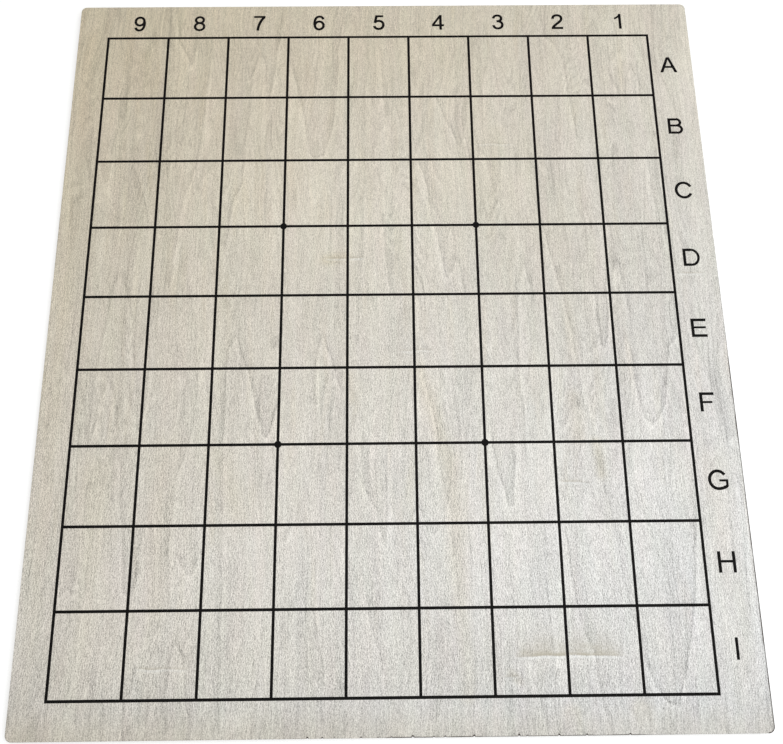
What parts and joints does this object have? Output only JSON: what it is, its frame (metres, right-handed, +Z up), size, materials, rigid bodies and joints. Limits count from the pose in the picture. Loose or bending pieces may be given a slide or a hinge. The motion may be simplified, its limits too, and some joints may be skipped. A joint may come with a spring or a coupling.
{
  "type": "shogi board",
  "caption": "Flat plywood shogi board with a printed grid, star points and plain file and rank marks, laid on a table to play on.",
  "frame": {"origin": "middle of the outline, on the underside that rests on the table", "axes": "+Z up out of the playing face, +Y from the near edge to the far edge where the file numbers are, +X to the right where the rank letters are"},
  "size_m": [0.3364, 0.379, 0.005],
  "materials": {
    "face_wood": "sanded rotary-cut veneer, pale, unvarnished",
    "back_wood": "sanded rotary-cut veneer, pale, unvarnished",
    "cross_grain_wood": "cut edge browned by the laser, grain across the board",
    "core_wood": "cut edge browned by the laser, end grain on the near and far edges",
    "glue": "dark glue line, charred where it was cut",
    "print_ink": "black ink soaked into the wood, matte"
  },
  "bodies": {
    "root": {"printed_grid": "print_ink", "face_veneer": "face_wood", "crossband_far_strip": "cross_grain_wood", "crossband_middle_strip": "cross_grain_wood", "crossband_near_strip": "cross_grain_wood", "core_ply": "core_wood", "lower_crossband": "cross_grain_wood", "back_veneer": "back_wood", "glue_film_1": "glue", "glue_film_2": "glue", "glue_film_3": "glue", "glue_film_4": "glue"}
  },
  "joints": []
}
